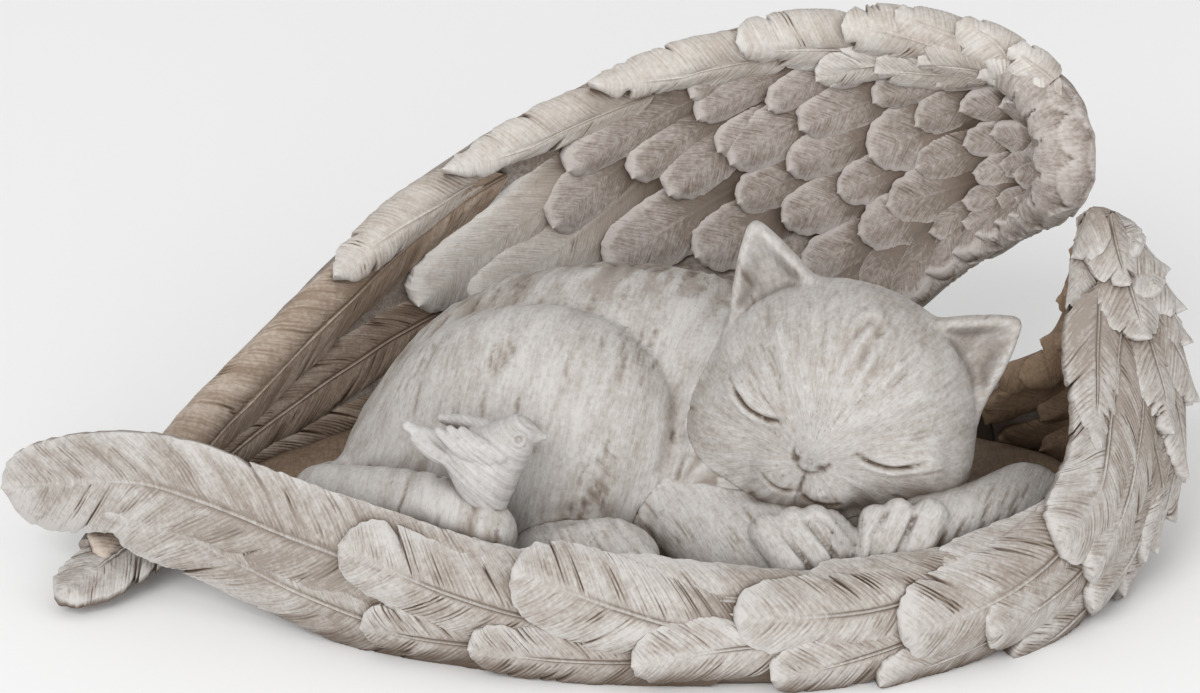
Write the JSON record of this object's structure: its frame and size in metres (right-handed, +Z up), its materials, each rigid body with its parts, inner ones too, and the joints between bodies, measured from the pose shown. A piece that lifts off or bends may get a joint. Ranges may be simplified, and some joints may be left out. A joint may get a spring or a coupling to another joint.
{
  "type": "pet memorial statue",
  "caption": "Garden memorial statue of a cat asleep, curled inside a pair of feathered angel wings, with a small bird on its tail.",
  "frame": {"origin": "middle of the statue's plan, on the ground under its flat underside", "axes": "+X along the statue towards the wings' shoulders, +Y away from the side that the cat's face looks to, +Z up"},
  "size_m": [0.2593, 0.1489, 0.1015],
  "materials": {
    "cast_stone": "matt stone-look resin casting with a brown wash in the carving and whitened high points"
  },
  "bodies": {
    "root": {"cat_in_angel_wings": "cast_stone"}
  },
  "joints": []
}
